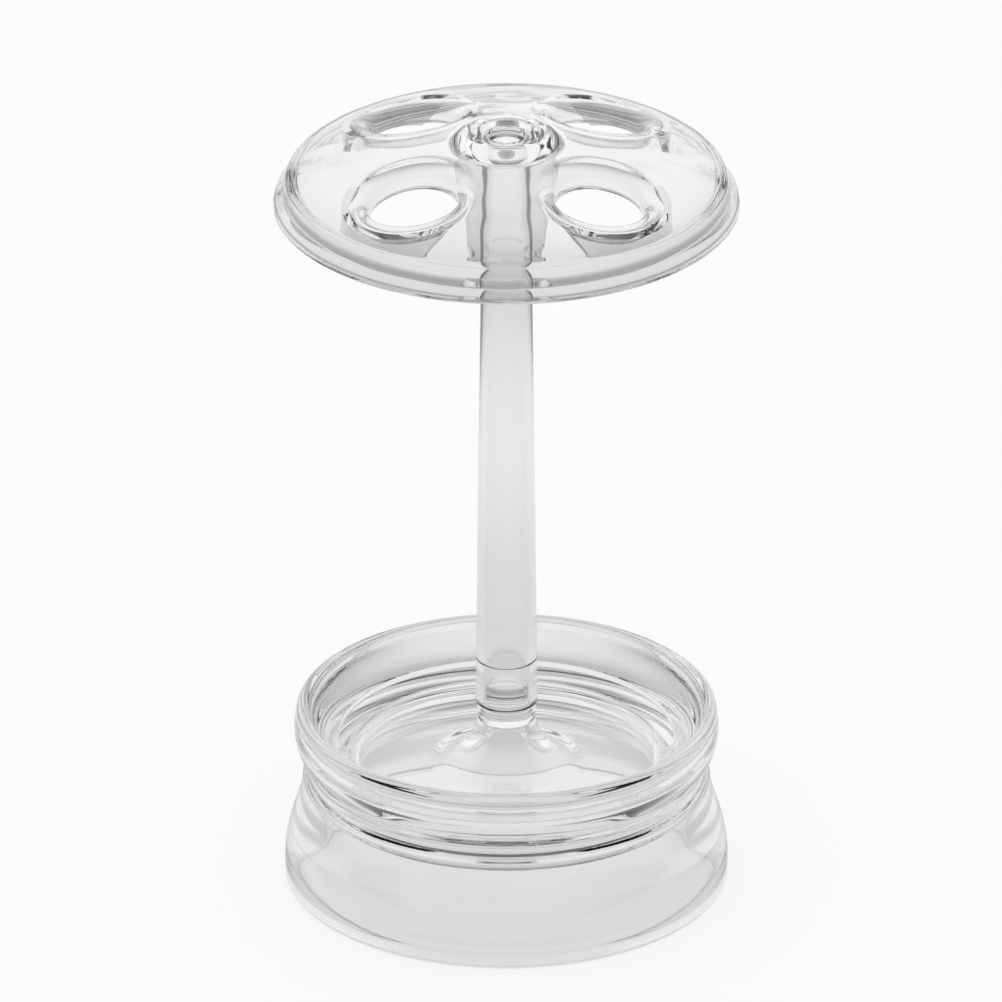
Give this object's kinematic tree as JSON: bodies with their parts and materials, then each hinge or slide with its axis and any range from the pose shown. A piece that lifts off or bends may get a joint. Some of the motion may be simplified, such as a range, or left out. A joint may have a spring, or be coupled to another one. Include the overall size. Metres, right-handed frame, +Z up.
{
  "type": "toothbrush stand",
  "caption": "Clear toothbrush stand: a domed disc with open brush holes on a hollow tapered post, above a round drip dish with a flared foot.",
  "frame": {"origin": "centre of the flat ring that the stand rests on", "axes": "+Z up along the post; +X to the right and +Y to the back; the brush holes lie midway between X and Y"},
  "size_m": [0.109, 0.109, 0.1924],
  "materials": {
    "skirt_plastic": "clear, polished",
    "dish_plastic": "clear, polished",
    "post_plastic": "clear, polished",
    "disc_plastic": "clear, polished"
  },
  "bodies": {
    "base": {"base_skirt": "skirt_plastic", "drip_dish": "dish_plastic"},
    "upright": {"post": "post_plastic"},
    "holder": {"brush_disc": "disc_plastic"}
  },
  "joints": [
    {"name": "post_lift", "type": "slide", "parent": "base", "child": "upright", "axis": [0, 0, 1], "range_m": [0, 0.012]},
    {"name": "disc_lift", "type": "slide", "parent": "upright", "child": "holder", "axis": [0, 0, 1], "range_m": [0, 0.032]}
  ]
}
